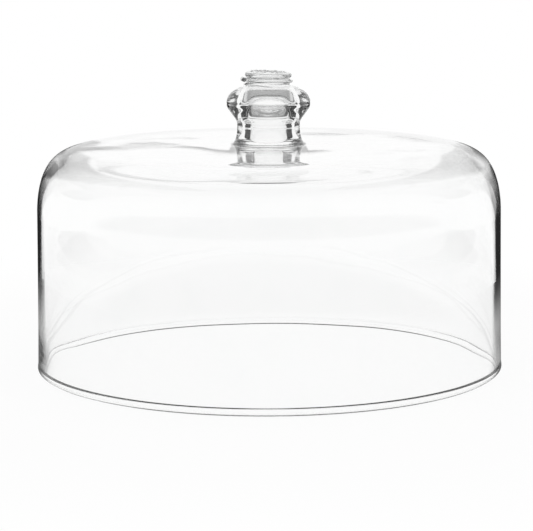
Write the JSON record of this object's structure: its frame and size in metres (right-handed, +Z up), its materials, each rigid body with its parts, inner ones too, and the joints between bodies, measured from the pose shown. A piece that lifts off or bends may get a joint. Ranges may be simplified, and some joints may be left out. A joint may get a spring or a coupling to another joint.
{
  "type": "food cover dome",
  "caption": "Clear blown glass bell with a flat crown, rounded shoulder and fire-polished lip, lifted by a hollow glass knob with a wound thread and a pressed berry, to cover cake or food.",
  "frame": {"origin": "centre of the mouth, on the plane that the lip rests on", "axes": "+Z up along the bell's axis to the knob; -Y is the side that faces the picture, with the thread's fat end towards -X"},
  "size_m": [0.28, 0.28, 0.1785],
  "materials": {
    "bell_glass": "clear, polished",
    "knob_glass": "clear, polished",
    "thread_glass": "clear, polished",
    "berry_glass": "clear, pressed"
  },
  "bodies": {
    "root": {"glass_bell": "bell_glass", "knob_stem": "knob_glass", "thread_trail": "thread_glass", "berry_prunt": "berry_glass"}
  },
  "joints": []
}
